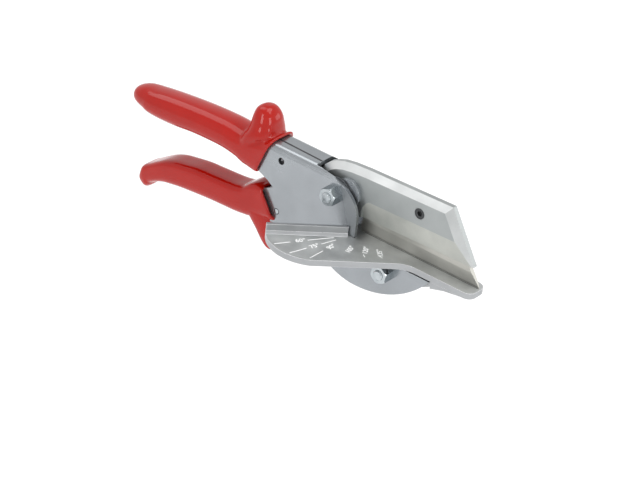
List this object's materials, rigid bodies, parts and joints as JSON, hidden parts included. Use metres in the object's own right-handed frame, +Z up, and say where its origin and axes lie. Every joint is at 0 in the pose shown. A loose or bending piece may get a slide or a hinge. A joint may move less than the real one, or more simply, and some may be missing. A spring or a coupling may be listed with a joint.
{
  "type": "mitre shears",
  "caption": "Hand shears for mitre cuts: crossing sheet-steel levers with red grips, a clamped straight blade and a cast table with a fence and angle lines.",
  "frame": {"origin": "axis of the hang hole through the upper channel, in the middle plane of the levers", "axes": "+X along the tool to the blade's tip, +Y to the far side, away from the table's wing, +Z up"},
  "size_m": [0.2062, 0.0543, 0.0739],
  "materials": {
    "plated_steel": "bright plated pressed sheet",
    "red_sleeve": "glossy red dipped vinyl",
    "black_rubber": "matt black rubber",
    "cast_alloy": "cast and brushed, with engraved lines",
    "zinc_steel": "bright zinc",
    "hard_steel": "ground",
    "forged_steel": "satin, with bright ground bevels",
    "blade_steel": "ground",
    "black_steel": "black oxide",
    "spring_steel": "oiled wire"
  },
  "bodies": {
    "anvil_lever": {"upper_frame": "plated_steel", "upper_grip": "red_sleeve", "closing_buffer": "black_rubber", "mitre_anvil": "cast_alloy", "anvil_bolt": "zinc_steel", "anvil_nut": "zinc_steel", "anvil_dowel": "zinc_steel", "pivot_bolt": "zinc_steel", "pivot_nut": "zinc_steel", "pivot_bush": "hard_steel", "thrust_washers": "zinc_steel"},
    "blade_lever": {"lower_frame": "plated_steel", "lower_grip": "red_sleeve", "blade_carrier": "forged_steel", "blade": "blade_steel", "blade_screw": "black_steel", "carrier_rivets": "zinc_steel", "spring_pin": "zinc_steel", "opening_spring": "spring_steel"}
  },
  "joints": [
    {"name": "blade_pivot", "type": "hinge", "parent": "anvil_lever", "child": "blade_lever", "pos_m": [0.0316, 0, -0.003], "axis": [0, -1, 0], "range_deg": [0, 35], "deforming": ["opening_spring"]}
  ]
}
